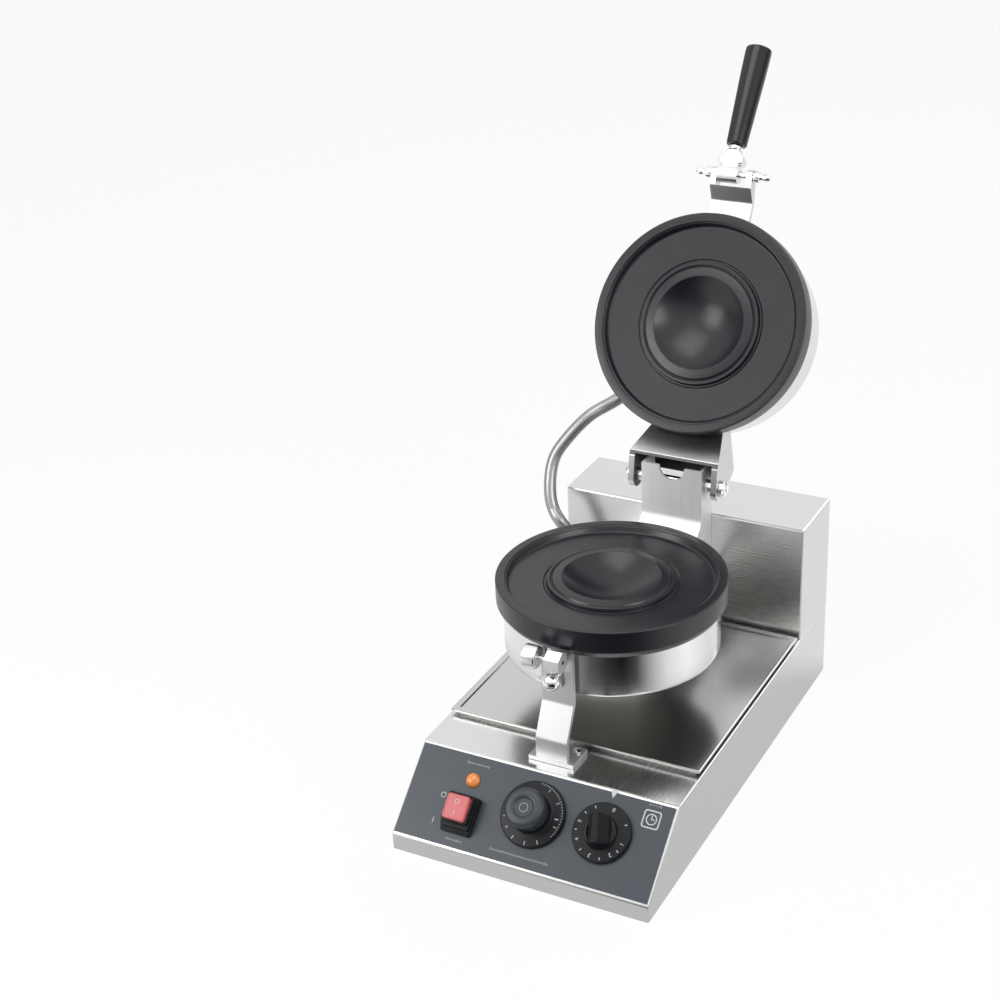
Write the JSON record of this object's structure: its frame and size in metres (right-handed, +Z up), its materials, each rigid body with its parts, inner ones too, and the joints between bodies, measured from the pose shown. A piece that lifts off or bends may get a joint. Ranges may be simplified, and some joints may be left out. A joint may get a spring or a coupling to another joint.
{
  "type": "countertop burger press",
  "caption": "Countertop electric press with two round dished hot plates, the upper on a hinged lid with a long handle, over a steel base with a sloping control panel.",
  "frame": {"origin": "on the underside, at the middle of the base's footprint", "axes": "+Z up, +Y towards the rear housing and the hinge, the control panel faces -Y, the lid's hinge runs along X"},
  "size_m": [0.2656, 0.579, 0.6045],
  "materials": {
    "brushed_steel": "brushed",
    "cast_aluminium": "as cast, tumbled",
    "chrome": "polished",
    "black_coating": "satin non-stick coating",
    "black_plastic": "satin",
    "black_gloss": "gloss",
    "black_rubber": "matt",
    "panel_film": "satin",
    "amber_lens": "gloss",
    "rocker_red": "gloss",
    "ceramic": "unglazed",
    "mineral_wool": "matt"
  },
  "bodies": {
    "base": {"base_shell": "brushed_steel", "bottom_plate": "brushed_steel", "bottom_plate_screw_1": "chrome", "bottom_plate_screw_2": "chrome", "bottom_plate_screw_3": "chrome", "bottom_plate_screw_4": "chrome", "rear_housing": "brushed_steel", "control_panel": "panel_film", "pilot_lens": "amber_lens", "pilot_lamp_body": "ceramic", "rocker_boot": "black_rubber", "switch_body": "black_plastic", "thermostat_body": "brushed_steel", "timer_body": "brushed_steel", "lower_plate": "black_coating", "lower_housing": "brushed_steel", "lower_heater": "brushed_steel", "lower_heater_clamp": "brushed_steel", "lower_insulation": "mineral_wool", "thermostat_bulb": "cast_aluminium", "front_bracket": "cast_aluminium", "front_bracket_screw_1": "chrome", "front_bracket_screw_2": "chrome", "bracket_ball_bolt": "chrome", "bracket_spacer": "brushed_steel", "latch_keeper": "cast_aluminium", "latch_pin": "chrome", "latch_knob": "cast_aluminium", "hinge_bracket": "brushed_steel", "hinge_bolt": "chrome", "hinge_nut": "chrome", "hinge_spacer_1": "brushed_steel", "hinge_spacer_2": "brushed_steel", "inlet_gland": "black_plastic", "terminal_block": "ceramic", "wire_grommet": "black_rubber", "lower_wire_sleeve": "black_rubber", "base_gland": "chrome", "conduit": "brushed_steel"},
    "lid": {"lid_plate": "black_coating", "lid_housing": "brushed_steel", "lid_heater": "brushed_steel", "lid_heater_clamp": "brushed_steel", "lid_insulation": "mineral_wool", "lid_arm": "cast_aluminium", "lid_bracket": "cast_aluminium", "cross_bolt": "chrome", "cross_bolt_nut_1": "chrome", "cross_bolt_nut_2": "chrome", "lid_gland": "chrome"},
    "handle": {"yoke": "cast_aluminium", "handle_rod": "brushed_steel", "ferrule": "brushed_steel", "handle_grip": "black_gloss"},
    "tray": {"drip_tray": "brushed_steel"},
    "switch_rocker": {"rocker": "rocker_red"},
    "temperature_dial": {"temperature_knob": "black_plastic"},
    "timer_dial": {"timer_knob": "black_plastic"}
  },
  "joints": [
    {"name": "lid_hinge", "type": "hinge", "parent": "base", "child": "lid", "pos_m": [0, 0.13234, 0.2313], "axis": [1, 0, 0], "range_deg": [0, 119.45], "deforming": ["conduit"]},
    {"name": "handle_pivot", "type": "hinge", "parent": "lid", "child": "handle", "pos_m": [0, 0.27214, 0.49437], "axis": [1, 0, 0], "range_deg": [0, 95]},
    {"name": "tray_lift", "type": "slide", "parent": "base", "child": "tray", "axis": [0, 0, 1], "range_m": [0, 0.03]},
    {"name": "rocker_tilt", "type": "hinge", "parent": "base", "child": "switch_rocker", "pos_m": [-0.065, -0.20121, 0.04565], "axis": [-1, 0, 0], "range_deg": [0, 6]},
    {"name": "temperature_turn", "type": "hinge", "parent": "base", "child": "temperature_dial", "pos_m": [0.0005, -0.18719, 0.05018], "axis": [0, 0.6628, -0.7488], "range_deg": [0, 300]},
    {"name": "timer_turn", "type": "hinge", "parent": "base", "child": "timer_dial", "pos_m": [0.0665, -0.18682, 0.05051], "axis": [0, 0.6628, -0.7488], "range_deg": [0, 300]}
  ]
}
